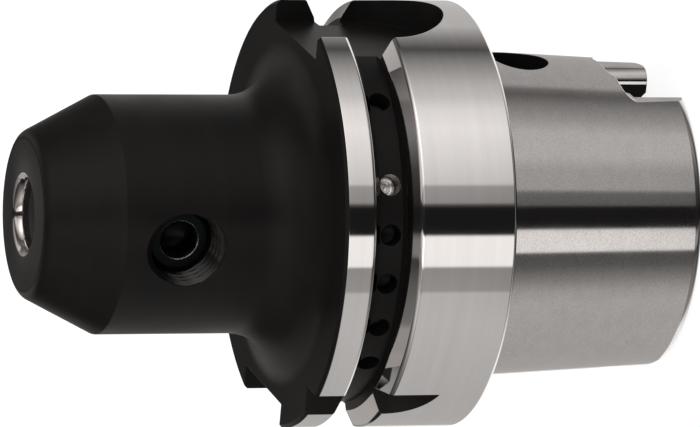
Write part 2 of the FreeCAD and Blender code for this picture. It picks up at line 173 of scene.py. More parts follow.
def break_corners(outline):
    """Rounds the corners of a closed outline.

    Each point is (radius, height, finish of the side that follows, rounding).
    """
    shallow = math.radians(8)
    side_share = 0.4  # the most of a side that a rounding takes
    small = 0.3 * MM
    small_step, large_step = 23, 9  # degrees for each step of a small or a larger rounding
    made = []
    count = len(outline)
    for n, (radius, height, finish, rounding) in enumerate(outline):
        corner = np.array((radius, height))
        before = np.array(outline[n - 1][:2])
        after = np.array(outline[(n + 1) % count][:2])
        came_from = outline[n - 1][2]
        into = (corner - before) / np.linalg.norm(corner - before)
        out = (after - corner) / np.linalg.norm(after - corner)
        turn = angle_between(into, out)
        if rounding <= 0 or turn < shallow:
            made.append((radius, height, finish))
            continue
        room = side_share * min(np.linalg.norm(corner - before), np.linalg.norm(after - corner))
        reach = min(rounding * math.tan(turn / 2), room)
        start, end = corner - into * reach, corner + out * reach
        steps = max(2, math.ceil(turn / math.radians(small_step if reach < small else large_step)))
        for k in range(steps + 1):
            t = k / steps
            point = (1 - t) ** 2 * start + 2 * t * (1 - t) * corner + t * t * end
            # a rounding takes the finish of a ground or bored side before it; the nose face ends at it
            goes_on = came_from in (GROUND, BORED) or finish == NOSE
            side = came_from if goes_on and k < steps else finish
            made.append((float(point[0]), float(point[1]), side))
    return made


def mesh_object(name, vertices, faces, finishes=None):
    mesh = bpy.data.meshes.new(name)
    mesh.from_pydata([tuple(v) for v in vertices], [], [tuple(f) for f in faces])
    mesh.validate()
    if finishes is not None:
        mesh.polygons.foreach_set("material_index", np.array(finishes, dtype=np.int32))
    piece = bpy.data.objects.new(name, mesh)
    bpy.context.scene.collection.objects.link(piece)
    return piece


def revolve(name, outline, steps=TURN_STEPS):
    """A ring solid: the closed outline (radius, height, finish) turned about Z."""
    points = np.array([(r, z) for r, z, _ in outline])
    count = len(points)
    angles = np.arange(steps) * (2 * math.pi / steps)
    ring = np.empty((steps, count, 3))
    ring[:, :, 0] = np.cos(angles)[:, None] * points[None, :, 0]
    ring[:, :, 1] = np.sin(angles)[:, None] * points[None, :, 0]
    ring[:, :, 2] = points[None, :, 1]
    i, j = np.meshgrid(np.arange(steps), np.arange(count), indexing="ij")
    i2, j2 = (i + 1) % steps, (j + 1) % count
    faces = np.stack([i * count + j, i2 * count + j, i2 * count + j2, i * count + j2], axis=-1)
    finishes = np.tile([finish for _, _, finish in outline], steps)
    return mesh_object(name, ring.reshape(-1, 3), faces.reshape(-1, 4), finishes)


def spun(name, outline, finish, place, steps=64):
    """A closed solid: the (radius, height) outline turned about its own axis and put in place."""
    vertices = [place @ Vector((0, 0, outline[0][1]))]
    for radius, height in outline:
        for k in range(steps):
            a = 2 * math.pi * k / steps
            vertices.append(place @ Vector((radius * math.cos(a), radius * math.sin(a), height)))
    vertices.append(place @ Vector((0, 0, outline[-1][1])))
    last = len(vertices) - 1
    faces = []
    for k in range(steps):
        k2 = (k + 1) % steps
        faces.append((0, 1 + k2, 1 + k))
        for row in range(len(outline) - 1):
            low, high = 1 + row * steps, 1 + (row + 1) * steps
            faces.append((low + k, low + k2, high + k2, high + k))
        top = 1 + (len(outline) - 1) * steps
        faces.append((top + k, top + k2, last))
    return mesh_object(name, vertices, faces, [finish] * len(faces))


def prism(name, outline, axis, low, high, finish):
    """A closed prism: the outline in the plane across the axis, drawn from low to high along it."""
    following = outline[1:] + outline[:1]
    area = sum(a * next_b - next_a * b for (a, b), (next_a, next_b) in zip(outline, following))
    # the outline's two axes and the prism's own make a right-handed set, except along y
    right_handed = axis != "y"
    if (area > 0) != right_handed:
        outline = list(reversed(outline))
    make = {
        "x": lambda a, b, c: (c, a, b),
        "y": lambda a, b, c: (a, c, b),
        "z": lambda a, b, c: (a, b, c),
    }[axis]
    count = len(outline)
    vertices = [make(a, b, low) for a, b in outline] + [make(a, b, high) for a, b in outline]
    faces = [tuple(reversed(range(count))), tuple(range(count, 2 * count))]
    for n in range(count):
        n2 = (n + 1) % count
        faces.append((n, n2, n2 + count, n + count))
    return mesh_object(name, vertices, faces, [finish] * len(faces))


def arc(centre, radius, start, end, steps):
    """Points of an arc, angles in degrees."""
    angles = np.radians(np.linspace(start, end, steps + 1))
    return [(centre[0] + radius * math.cos(a), centre[1] + radius * math.sin(a)) for a in angles]


def threaded(name, start, stop, radius_at, place, finish, pitch, around=120, rows_per_pitch=14):
    """A closed bar along its own Z whose radius follows radius_at(height, turn share)."""
    rows = max(2, int(round((stop - start) / pitch * rows_per_pitch)))
    vertices = [place @ Vector((0, 0, start))]
    for row in range(rows + 1):
        height = start + (stop - start) * row / rows
        for k in range(around):
            turn = k / around
            radius = radius_at(height, turn)
            a = 2 * math.pi * turn
            vertices.append(place @ Vector((radius * math.cos(a), radius * math.sin(a), height)))
    vertices.append(place @ Vector((0, 0, stop)))
    last = len(vertices) - 1
    faces = []
    for k in range(around):
        k2 = (k + 1) % around
        faces.append((0, 1 + k2, 1 + k))
        for row in range(rows):
            low, high = 1 + row * around, 1 + (row + 1) * around
            faces.append((low + k, low + k2, high + k2, high + k))
        faces.append((1 + rows * around + k, 1 + rows * around + k2, last))
    return mesh_object(name, vertices, faces, [finish] * len(faces))


def ridge(height, turn, pitch, crest, root):
    """Radius of a 60 degree thread with small flats on crest and root."""
    root_flat, slope = 0.12, 0.72
    phase = (height / pitch - turn) % 1.0
    flank = abs(2 * phase - 1)  # 1 at the crest, 0 at the root
    return root + (crest - root) * min(1.0, max(0.0, (flank - root_flat) / slope))


def cut(body, cutters):
    """Takes the cutters out of the body and keeps the result as its mesh."""
    for cutter in cutters:
        for name in FINISHES:
            cutter.data.materials.append(material(name))
        modifier = body.modifiers.new(cutter.name, "BOOLEAN")
        modifier.operation = "DIFFERENCE"
        modifier.solver = "EXACT"
        modifier.object = cutter
    graph = bpy.context.evaluated_depsgraph_get()
    mesh = bpy.data.meshes.new_from_object(body.evaluated_get(graph), depsgraph=graph)
    body.modifiers.clear()
    body.data = mesh
    for cutter in cutters:
        bpy.data.objects.remove(cutter)


def material(name):
    return bpy.data.materials.get(name) or bpy.data.materials.new(name)


def smooth(piece, sharp_above):
    """Smooth shading with sharp edges kept, weighted so that large faces stay flat."""
    mesh = piece.data
    mesh.shade_smooth()
    mesh.set_sharp_from_angle(angle=math.radians(sharp_above))
    work = bmesh.new()
    work.from_mesh(mesh)
    # the cutters leave slivers thinner than a thousandth of a millimetre
    bmesh.ops.dissolve_degenerate(work, dist=0.001 * MM, edges=work.edges[:])
    for edge in work.edges:
        # the drive flats meet the taper at a small angle, and their border stays sharp too
        if len({face.material_index == LUG for face in edge.link_faces}) == 2:
            edge.smooth = False
    work.to_mesh(mesh)
    work.free()
    weighted = piece.modifiers.new("weighted_normals", "WEIGHTED_NORMAL")
    weighted.mode = "FACE_AREA"
    weighted.weight = 100
    weighted.keep_sharp = True


# The holder body


def taper_radius(size, height):
    """Radius of the shank's taper at a height above the rear end."""
    return (size.gauge_diameter - (size.contact_height - GAUGE_DEPTH - height) / TAPER_RATIO) / 2


def body_outline(size):
    """The turned outline of the holder, rear end outwards and up, then back down inside."""
    edge = size.edge_break
    contact = size.contact_height
    front = contact + size.flange_width
    flange = size.flange_diameter / 2
    slope = math.tan(math.radians(30))
    # the groove: half widths at the mouth, at the foot of the flanks and at the bottom
    bottom = size.groove_bottom / 2
    middle = contact + GROOVE_HEIGHT
    lip = 0.5 * MM
    mouth = 3.54 * MM
    root = bottom + 1.3 * MM
    foot = mouth - (flange - root) * slope
    floor = 1.8 * MM
    rear_lip, front_lip = 0.9 * MM, 0.6 * MM
    neck = size.neck_diameter / 2
    flare = size.flare_radius
    nose = size.nose_diameter / 2
    top = size.height
    # the undercut between the taper and the contact face
    relief_start, relief_depth, undercut = 0.7 * MM, 0.35 * MM, 0.2 * MM
    relief = taper_radius(size, contact) - relief_depth
    face_start = taper_radius(size, contact) + 0.8 * MM
    rear_mouth = 18 * MM
    outline = [
        (rear_mouth, 0.0, MILLED, edge),
        (taper_radius(size, 0.0), 0.0, SHANK, size.rear_rounding),
        (taper_radius(size, contact - relief_start), contact - relief_start, MILLED, edge / 2),
        (relief, contact - relief_depth, MILLED, 0.0),
        (relief, contact + undercut, MILLED, 0.0),
        (face_start, contact + undercut, MILLED, 0.0),
        (face_start, contact, GROUND, edge / 2),
        (flange - lip, contact, GROUND, edge),
        (flange, contact + lip, GROUND, edge),
        (flange, middle - mouth, GROUND, rear_lip),
        (root, middle - foot, BLACK, edge / 2),
        (bottom, middle - floor, BLACK, edge / 2),
        (bottom, middle + floor, BLACK, edge / 2),
        (root, middle + foot, GROUND, edge / 2),
        (flange, middle + mouth, GROUND, front_lip),
        (flange, front - lip, BLACK, edge),
        (flange - lip, front, BLACK, edge),
    ]
    for radius, height in arc((neck + flare, front + flare), flare, 270, 180, 28):
        outline.append((radius, height, BLACK, 0.0))
    tool = size.tool_bore / 2
    outline += [
        (neck, top - size.nose_cone, BLACK, 6 * edge),
        (nose, top, NOSE, size.nose_rounding),
    ]
    # the lead-in curves from the nose face into the bore
    lead_in, lead_in_width, painted_shade_depth = 1.6 * MM, 1.1 * MM, 2.2 * MM
    steepest = math.degrees(math.acos(1 - lead_in_width / lead_in))
    start = (tool + lead_in, top - lead_in * math.sin(math.radians(steepest)))
    for radius, height in arc(start, lead_in, 180 - steepest, 180, 18):
        outline.append((radius, height, BORED, 0.0))
    # below the tool bore: the coolant way, the coolant thread and the cavity with its clamping shoulder
    bore_end, way_start = 56 * MM, 55 * MM
    way, way_cone = 4 * MM, 4.5 * MM
    thread, thread_start, thread_end = 8.5 * MM, 27 * MM, 38 * MM
    recess, recess_height = 9.5 * MM, 26 * MM
    dome = 15 * MM
    cavity, cavity_end = 18.5 * MM, 22 * MM
    shoulder, shoulder_height, shoulder_step, chamfer_end = 17 * MM, 10.5 * MM, 1.5 * MM, 1 * MM
    outline += [
        # below this depth the bore wall takes a darker finish as painted shade
        (tool, top - painted_shade_depth, BORE_PAINTED_SHADE, 0.0),
        (tool, bore_end, BORE_PAINTED_SHADE, 0.0),
        (way, way_start, BORE_PAINTED_SHADE, 0.0),
        (way, thread_end + way_cone * slope, BORED, 0.0),
        (thread, thread_end, BORED, 0.0),
        (thread, thread_start, BORED, edge),
        (recess, recess_height, BORED, edge),
        (dome, recess_height, BORED, 2 * edge),
        (cavity, cavity_end, BORED, 4 * edge),
        (cavity, shoulder_height + shoulder_step / slope, BORED, 2 * edge),
        (shoulder, shoulder_height, BORED, edge),
        (shoulder, chamfer_end, BORED, edge),
    ]
    return break_corners(outline)


def radial(angle, height, distance=0.0):
    """Placement whose Z points outwards at an angle from +Y towards +X."""
    out = Vector((math.sin(angle), math.cos(angle), 0))
    turn = out.to_track_quat("Z", "Y").to_matrix().to_4x4()
    return Matrix.Translation(Vector((0, 0, height)) + out * distance) @ turn


def flange_cutters(size):
    """The two slots and the notch, open to the front, and the balancing holes in the groove."""
    front = size.contact_height + size.flange_width
    ends = front - 11.8 * MM
    wide, narrow = 10 * MM, 9 * MM
    floor, past = 26.5 * MM, 36 * MM
    top = front + 2 * MM

    def open_slot(middle, half):
        return arc((middle, ends), half, 180, 360, 64) + [(middle + half, top), (middle - half, top)]

    notch, side = 8 * MM, 20 * MM
    made = [
        prism("wide_slot", open_slot(0.0, wide), "y", floor, past, BLACK),
        prism("narrow_slot", open_slot(0.0, narrow), "y", -past, -floor, BLACK),
        prism("orientation_notch", open_slot(side + notch, notch), "y", -past, -side, BLACK),
    ]
    middle = size.contact_height + GROOVE_HEIGHT
    bottom = size.groove_bottom / 2
    hole, hole_depth, point_depth = 1.55 * MM, 3 * MM, 3.9 * MM
    outline = [(POINT, -point_depth), (hole, -hole_depth), (hole, 2 * MM)]
    for number, degrees in enumerate(HOLE_BEARINGS):
        finish = DRILLED if degrees == FRESH_HOLE else BLACK
        place = radial(math.radians(degrees), middle, bottom)
        made.append(spun("balance_hole_%d" % number, outline, finish, place, 40))
    return made


def shank_cutters(size):
    """The drive slots and the access hole, and the flats beside the drive slots."""
    half, depth, corner = 6.27 * MM, 10.4 * MM, 3.5 * MM
    below = -2 * MM
    slot = [(-half, below), (half, below)]
    slot += arc((half - corner, depth - corner), corner, 0, 90, 10)
    slot += arc((corner - half, depth - corner), corner, 90, 180, 10)
    rear = taper_radius(size, 0.0)
    run_out, flat_end, overlap = 2 * MM, 7.6 * MM, 0.1 * MM
    past = 30 * MM
    hole, hole_start, hole_height = 4.5 * MM, 15 * MM, 23.2 * MM
    slots = [
        prism("drive_slots", slot, "y", -past, past, BLACK),
        spun("access_hole", [(hole, hole_start), (hole, past)], BLACK, radial(0.0, hole_height), 96),
    ]
    flats = []
    for name, side, deep, rounding in (
        ("drive_flat_wide_side", 1, 2.3 * MM, 2.3 * MM),
        ("drive_flat_narrow_side", -1, 1.7 * MM, 3 * MM),
    ):
        flat = rear - deep
        above = [(-past, flat)]
        above += arc((-half - rounding, flat - rounding), rounding, 90, 0, 16)
        above += arc((half + rounding, flat - rounding), rounding, 180, 90, 16)
        above += [(past, flat), (past, past), (-past, past)]
        above = [(a, b * side) for a, b in above]
        flats.append(prism(name, above, "z", below, flat_end, LUG))
        ending = [(flat, flat_end - overlap)]
        ending += arc((flat + run_out, flat_end), run_out, 180, 90, 14)
        ending += [(past, flat_end + run_out), (past, flat_end - overlap)]
        ending = [(a * side, b) for a, b in ending]
        flats.append(prism(name + "_end", ending, "x", -past, past, LUG))
    return slots, flats


def screw_hole_cutters(size):
    """The threaded hole and its countersink."""
    surface = size.neck_diameter / 2
    sink = size.screw_sink / 2
    major = size.screw_hole / 2
    pitch = size.thread_pitch
    cone_start = surface - sink + major
    inner_end, past = 2.5 * MM, 3 * MM
    deep, shallow = major + 0.7 * MM, major + 0.02 * MM

    def radius_at(height, turn):
        return ridge(height + pitch / 2, turn, pitch, deep, shallow)

    place = radial(math.pi / 2, size.height - size.screw_setback)
    thread = threaded("screw_thread", inner_end, surface + past, radius_at, place, THREAD, pitch)
    wide = surface - cone_start + past
    outline = [(major, cone_start), (major + wide, cone_start + wide)]
    return [thread, spun("countersink", outline, BLACK, place, 120)]


class HOLDER_OT_body(bpy.types.Operator):
    """Turn the holder body and mill its slots, notch, flats and holes"""

    bl_idname = "holder.body"
    bl_label = "Holder body"

    def execute(self, context):
        size = context.scene.holder_sizes
        body = revolve("turned_holder", body_outline(size))
        for name in FINISHES:
            body.data.materials.append(material(name))
        cut(body, flange_cutters(size))
        slots, flats = shank_cutters(size)
        cut(body, slots)
        cut(body, flats)
        for cutter in screw_hole_cutters(size):
            cut(body, [cutter])
        smooth(body, 31)
        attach(body, "holder")
        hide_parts("holder_body")
        return {"FINISHED"}


# The clamping screw


class HOLDER_OT_screw(bpy.types.Operator):
    """Make the threaded clamping screw with its hexagon socket"""

    bl_idname = "holder.screw"
    bl_label = "Clamping screw"

    def execute(self, context):
        size = context.scene.holder_sizes
        pitch = size.thread_pitch
        tip, top = SCREW_LOW.x, SCREW_HIGH.x
        clearance, thread_depth = 0.02 * MM, 0.75 * MM
        crest = (SCREW_HIGH.z - SCREW_LOW.z) / 2 - clearance
        root = crest - thread_depth
        tip_radius, top_slope = 3.5 * MM, 1.1

        def radius_at(height, turn):
            thread = ridge(height, turn, pitch, crest, root)
            tip_cone = tip_radius + (height - tip)
            top_cone = root + (top - height) * top_slope
            return min(thread, tip_cone, top_cone)

        place = radial(math.pi / 2, size.height - size.screw_setback)
        screw = threaded("set_screw", tip, top, radius_at, place, SCREW, pitch, 144, 16)
        for name in FINISHES:
            screw.data.materials.append(material(name))
        # the hexagon socket, its bevel, the thin rim round the bevel and the drill point below; the rim
        # is bare steel, partly wear and partly a painted glint
        flat = size.hexagon / 2
        across = flat / math.cos(math.radians(30))
        middle = size.height - size.screw_setback
        depth, turned, past = 4.4 * MM, 8, 2 * MM
        corners = [math.radians(60 * k + turned) for k in range(6)]
        hexagon = [(across * math.cos(a), across * math.sin(a) + middle) for a in corners]
        bevel = [
            (POINT, top - 1.4 * MM),
            (flat - 1e-5, top - 0.45 * MM),
            (flat + past, top + 1.55 * MM),
        ]
        rim_depth, rim_inner, rim_outer = 0.08 * MM, 0.39 * MM, 0.55 * MM
        rim = [
            (POINT, top - rim_depth),
            (flat + rim_inner, top - rim_depth),
            (flat + rim_outer, top + rim_depth),
        ]
        drill = [(POINT, top - depth - 1.2 * MM), (flat * 0.97, top - depth + 0.1 * MM)]
        for cutter in (
            prism("socket", hexagon, "x", top - depth, top + past, SCREW),
            spun("socket_bevel", bevel, SCREW, place, 72),
            spun("socket_rim", rim, WORN_AND_GLINT, place, 96),
            spun("socket_point", drill, SCREW, place, 48),
        ):
            cut(screw, [cutter])
        smooth(screw, 28)
        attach(screw, "screw")
        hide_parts("clamping_screw")
        return {"FINISHED"}


# Node helpers and finishes


def put(tree, kind, inputs=None, **settings):
    """Adds a node; inputs maps a socket name or number to a value or to an output socket."""
    node = tree.nodes.new(kind)
    for key, value in settings.items():
        setattr(node, key, value)
    for key, value in (inputs or {}).items():
        if isinstance(value, bpy.types.NodeSocket):
            tree.links.new(value, node.inputs[key])
        else:
            node.inputs[key].default_value = value
    return node


def calc(tree, operation, *values):
    return put(tree, "ShaderNodeMath", dict(enumerate(values)), operation=operation).outputs[0]


def vector_calc(tree, operation, *values):
    node = put(tree, "ShaderNodeVectorMath", dict(enumerate(values)), operation=operation)
    return node.outputs["Value" if operation == "LENGTH" else "Vector"]


def spread(tree, value, low, high, to_low, to_high, kind="SMOOTHSTEP"):
    inputs = {"Value": value, "From Min": low, "From Max": high, "To Min": to_low, "To Max": to_high}
    return put(tree, "ShaderNodeMapRange", inputs, interpolation_type=kind).outputs["Result"]


def rising(tree, value, between):
    """Nought below the first of two limits, one above the second."""
    return spread(tree, value, *between, 0.0, 1.0)


def falling(tree, value, between):
    return spread(tree, value, *between, 1.0, 0.0)


def blend_colours(tree, factor, first, second):
    node = put(tree, "ShaderNodeMix", {0: factor}, data_type="RGBA")
    for socket, value in ((node.inputs[6], first), (node.inputs[7], second)):
        if isinstance(value, bpy.types.NodeSocket):
            tree.links.new(value, socket)
        else:
            socket.default_value = (*value, 1.0) if len(value) == 3 else value
    return node.outputs[2]


def multiply_colours(tree, first, second):
    inputs = {0: 1.0, 6: first, 7: second}
    return put(tree, "ShaderNodeMix", inputs, data_type="RGBA", blend_type="MULTIPLY").outputs[2]


def ramp(tree, factor, stops):
    """A colour ramp of (position, grey) stops."""
    node = put(tree, "ShaderNodeValToRGB", {"Fac": factor})
    elements = node.color_ramp.elements
    while len(elements) < len(stops):
        elements.new(0.5)
    for element, (position, _) in zip(elements, stops):
        element.position = position
    # the colours come last, because a new position can change the order
    for element, (_, level) in zip(elements, stops):
        element.color = (level, level * 0.985, level * 0.975, 1.0)
    return node.outputs["Color"]


def effect_group(name, sockets_in, sockets_out):
    """An empty node group with named float or vector sockets."""
    group = bpy.data.node_groups.new(name, "ShaderNodeTree")
    kinds = {"float": "NodeSocketFloat", "vector": "NodeSocketVector"}
    for label, kind, value in sockets_in:
        socket = group.interface.new_socket(name=label, in_out="INPUT", socket_type=kinds[kind])
        socket.default_value = value
    for label in sockets_out:
        group.interface.new_socket(name=label, in_out="OUTPUT", socket_type="NodeSocketFloat")
    entry = group.nodes.new("NodeGroupInput")
    leave = group.nodes.new("NodeGroupOutput")
    return group, entry, leave


def turning_lines():
    """Fine lines round the axis, as turning and grinding leave them."""
    group, entry, leave = effect_group(
        "Turning Lines",
        [("Line Pitch", "float", 0.0002), ("Streak", "float", 60.0)],
        ["Height", "Tone"],
    )
    place = put(group, "ShaderNodeTexCoord").outputs["Object"]
    parts = put(group, "ShaderNodeSeparateXYZ", {0: place})
    along = calc(group, "DIVIDE", parts.outputs["Z"], entry.outputs["Line Pitch"])
    across = calc(group, "MULTIPLY", parts.outputs["X"], entry.outputs["Streak"])
    aside = calc(group, "MULTIPLY", parts.outputs["Y"], entry.outputs["Streak"])
    vector = put(group, "ShaderNodeCombineXYZ", {0: across, 1: aside, 2: along}).outputs[0]
    fine = put(group, "ShaderNodeTexNoise", {"Vector": vector, "Scale": 1.0, "Detail": 2.0})
    slow = vector_calc(group, "MULTIPLY", vector, (1.0, 1.0, 0.14))
    broad = put(group, "ShaderNodeTexNoise", {"Vector": slow, "Scale": 1.0, "Detail": 1.0})
    group.links.new(fine.outputs["Fac"], leave.inputs["Height"])
    group.links.new(broad.outputs["Fac"], leave.inputs["Tone"])
    return group


def fine_grain():
    """Small even grain in every direction, with a broader cloud."""
    group, entry, leave = effect_group(
        "Fine Grain",
        [("Grain Size", "float", 0.0003), ("Cloud Size", "float", 0.006)],
        ["Height", "Cloud"],
    )
    place = put(group, "ShaderNodeTexCoord").outputs["Object"]
    for size, output, detail in (("Grain Size", "Height", 2.0), ("Cloud Size", "Cloud", 3.0)):
        scale = calc(group, "DIVIDE", 1.0, entry.outputs[size])
        noise = put(group, "ShaderNodeTexNoise", {"Vector": place, "Scale": scale, "Detail": detail})
        group.links.new(noise.outputs["Fac"], leave.inputs[output])
    return group


def cutter_rings():
    """Rings round any axis, as a drill or a facing tool leaves them."""
    group, entry, leave = effect_group(
        "Cutter Rings",
        [
            ("Centre", "vector", (0.0, 0.0, 0.0)),
            ("Axis", "vector", (0.0, 0.0, 1.0)),
            ("Ring Pitch", "float", 0.0004),
        ],
        ["Height", "Tone"],
    )
    place = put(group, "ShaderNodeTexCoord").outputs["Object"]
    away = vector_calc(group, "SUBTRACT", place, entry.outputs["Centre"])
    side = vector_calc(group, "CROSS_PRODUCT", away, entry.outputs["Axis"])
    distance = vector_calc(group, "LENGTH", side)
    rings = calc(group, "DIVIDE", distance, entry.outputs["Ring Pitch"])
    wave = calc(group, "SINE", calc(group, "MULTIPLY", rings, 2 * math.pi))
    uneven = {"W": rings, "Scale": 1.7, "Detail": 2.0}
    noise = put(group, "ShaderNodeTexNoise", uneven, noise_dimensions="1D")
    height = calc(group, "MULTIPLY_ADD", wave, 0.35, noise.outputs["Fac"])
    group.links.new(height, leave.inputs["Height"])
    group.links.new(noise.outputs["Fac"], leave.inputs["Tone"])
    return group


def use_group(tree, group, inputs):
    node = put(tree, "ShaderNodeGroup")
    node.node_tree = group
    for key, value in inputs.items():
        node.inputs[key].default_value = value
    return node


def start_material(name):
    """The material's tree with an empty Principled BSDF wired to the output."""
    made = material(name)
    made.use_nodes = True
    tree = made.node_tree
    tree.nodes.clear()
    shader = put(tree, "ShaderNodeBsdfPrincipled")
    output = put(tree, "ShaderNodeOutputMaterial")
    tree.links.new(shader.outputs[0], output.inputs["Surface"])
    return tree, shader


def relief(tree, shader, height, depth, strength, edge):
    """Bump over edges that are rounded by the given radius."""
    soft_edge = put(tree, "ShaderNodeBevel", {"Radius": edge}, samples=6)
    inputs = {"Height": height, "Distance": depth, "Strength": strength, "Normal": soft_edge.outputs[0]}
    bump = put(tree, "ShaderNodeBump", inputs)
    tree.links.new(bump.outputs[0], shader.inputs["Normal"])


# Lines round the axis: their pitch, how fast they break up, their relief and their weight in the tone.
Lines = namedtuple("Lines", "pitch streak depth strength tone", defaults=(0.5,))
# Grain and the clouds over it: their sizes, and their weights in the tone and the relief.
Grain = namedtuple("Grain", "size cloud tone height cloud_tone")


def worked_surface(tree, groups, lines, grain):
    """The line and grain groups of a finish."""
    cut_lines = use_group(tree, groups["lines"], {"Line Pitch": lines.pitch, "Streak": lines.streak})
    specks = use_group(tree, groups["grain"], {"Grain Size": grain.size, "Cloud Size": grain.cloud})
    return cut_lines, specks


def worked_relief(tree, shader, cut_lines, specks, lines, grain, edge):
    fine, rows = specks.outputs["Height"], cut_lines.outputs["Height"]
    height = calc(tree, "MULTIPLY_ADD", fine, grain.height, rows)
    relief(tree, shader, height, lines.depth, lines.strength, edge)


def cloudy_gloss(tree, shader, specks, roughness, least, most):
    """Roughness that drifts with the clouds of the grain."""
    gloss = spread(tree, specks.outputs["Cloud"], 0.3, 0.7, roughness * least, roughness * most)
    tree.links.new(gloss, shader.inputs["Roughness"])


def bare_steel(name, groups, light, dark, roughness, lines, grain, edge):
    """Ground or turned steel: lines round the axis, fine grain and a little tone from both."""
    tree, shader = start_material(name)
    shader.inputs["Metallic"].default_value = 1.0
    cut_lines, specks = worked_surface(tree, groups, lines, grain)
    tone = calc(tree, "MULTIPLY", cut_lines.outputs["Tone"], lines.tone)
    tone = calc(tree, "MULTIPLY_ADD", specks.outputs["Height"], grain.tone, tone)
    tone = calc(tree, "MULTIPLY_ADD", specks.outputs["Cloud"], grain.cloud_tone, tone)
    middle = (lines.tone + grain.tone + grain.cloud_tone) / 2
    factor = rising(tree, tone, (middle - 0.35, middle + 0.35))
    tree.links.new(blend_colours(tree, factor, dark, light), shader.inputs["Base Color"])
    cloudy_gloss(tree, shader, specks, roughness, 0.88, 1.12)
    worked_relief(tree, shader, cut_lines, specks, lines, grain, edge)
    return shader


def dark_oxide(name, groups, colours, roughness, gleam, edge, lines):
    """Black oxide over turned steel, thinner in clouds."""
    tree, shader = start_material(name)
    shader.inputs["Specular IOR Level"].default_value = gleam
    grain = Grain(0.00022, 0.011, 0.0, 0.6, 1.0)
    cut_lines, specks = worked_surface(tree, groups, lines, grain)
    tone = calc(tree, "MULTIPLY_ADD", cut_lines.outputs["Tone"], lines.tone, specks.outputs["Cloud"])
    colour = blend_colours(tree, rising(tree, tone, (0.55, 0.95)), *colours)
    tree.links.new(colour, shader.inputs["Base Color"])
    cloudy_gloss(tree, shader, specks, roughness, 0.88, 1.14)
    worked_relief(tree, shader, cut_lines, specks, lines, grain, edge)


def ringed_steel(name, groups, light, dark, roughness, centre, axis, pitch, depth, edge):
    """Drilled or faced steel with rings round its own axis."""
    tree, shader = start_material(name)
    shader.inputs["Metallic"].default_value = 1.0
    rings = use_group(tree, groups["rings"], {"Centre": centre, "Axis": axis, "Ring Pitch": pitch})
    specks = use_group(tree, groups["grain"], {"Grain Size": 0.0002, "Cloud Size": 0.004})
    factor = rising(tree, rings.outputs["Tone"], (0.3, 0.7))
    tree.links.new(blend_colours(tree, factor, dark, light), shader.inputs["Base Color"])
    cloudy_gloss(tree, shader, specks, roughness, 0.8, 1.25)
    height = calc(tree, "MULTIPLY_ADD", specks.outputs["Height"], 0.4, rings.outputs["Height"])
    relief(tree, shader, height, depth, 0.5, edge)


class HOLDER_OT_finishes(bpy.types.Operator):
    """Build the steel and black oxide finishes"""

    bl_idname = "holder.finishes"
    bl_label = "Steel and oxide finishes"

    def execute(self, context):
        size = context.scene.holder_sizes
        finish = context.scene.holder_finish
        groups = {"lines": turning_lines(), "grain": fine_grain(), "rings": cutter_rings()}
        edge = size.slot_edge
        ground = (tuple(finish.ground_light), tuple(finish.ground_dark), finish.ground_roughness)
        shank = (tuple(finish.shank_light), tuple(finish.shank_dark), finish.shank_roughness)
        bored = ((0.74, 0.72, 0.705), (0.60, 0.58, 0.57), 0.09)
        # the bore wall below the bright lead-in: darker colours as painted shade
        bore = ((0.62, 0.60, 0.585), (0.50, 0.485, 0.475), 0.22)
        milled = (tuple(finish.milled), (0.42, 0.405, 0.395), 0.2)
        # bare steel for the socket rim: partly wear, partly a painted glint
        worn_and_glint = ((0.5, 0.49, 0.48), (0.05, 0.05, 0.05), 0.2)
        boring = ((0.0003, 20.0, 5e-6, 0.2, 1.0), (0.0006, 0.006, 0.3, 0.4, 0.5))
        steels = (
            ("ground_flange", ground, (0.00016, 25.0, 4e-6, 0.07, 1.0), (0.0005, 0.009, 0.25, 0.3, 0.3)),
            ("ground_shank", shank, (0.00022, 300.0, 4e-6, 0.07, 0.3), (0.0002, 0.007, 1.3, 1.6, 0.15)),
            ("polished_lug", shank, (0.0006, 300.0, 3e-6, 0.1, 1.0), (0.0003, 0.005, 0.4, 0.6, 0.3)),
            ("bored_steel", bored, *boring),
            ("bore_wall_painted_shade", bore, *boring),
            ("milled_steel", milled, (0.0005, 120.0, 1e-5, 0.3, 1.0), (0.0005, 0.005, 0.5, 0.6, 0.5)),
            ("worn_edge_and_glint", worn_and_glint, (0.0006, 200.0, 4e-6, 0.3, 1.0), (0.0004, 0.002, 0.5, 0.5, 1.0)),
        )
        shaders = {}
        for name, look, lines, grain in steels:
            shaders[name] = bare_steel(name, groups, *look, Lines(*lines), Grain(*grain), edge)
        # the wall deep in the bore is painted darker, rougher and a little less metallic, as painted
        # shade in the recess
        shaders["bore_wall_painted_shade"].inputs["Metallic"].default_value = 0.94
        oxide = (tuple(finish.oxide), tuple(finish.oxide_worn))
        screw = ((0.0028, 0.0040, 0.0043), (0.0042, 0.0056, 0.0058))
        turned = Lines(0.00022, 40.0, 0.000006, 0.2)
        rolled = Lines(0.0006, 200.0, 0.000006, 0.2)
        dark_oxide("black_oxide", groups, oxide, finish.oxide_roughness, 0.13, edge, turned)
        dark_oxide("nose_oxide", groups, oxide, finish.oxide_roughness, 1.0, edge, turned)
        dark_oxide("oiled_thread", groups, oxide, 0.2, 0.35, edge * 0.4, turned)
        dark_oxide("screw_black", groups, screw, 0.3, 0.08, edge * 0.6, rolled)
        bearing = math.radians(FRESH_HOLE)
        centre = (0.0, 0.0, size.contact_height + GROOVE_HEIGHT)
        axis = (math.sin(bearing), math.cos(bearing), 0.0)
        fresh = ((0.72, 0.70, 0.69), (0.35, 0.34, 0.33), 0.24)
        ringed_steel("fresh_drilled", groups, *fresh, centre, axis, 0.00045, 0.00006, edge)
        return {"FINISHED"}


# The studio

WHITE = (1.0, 1.0, 1.0, 1.0)
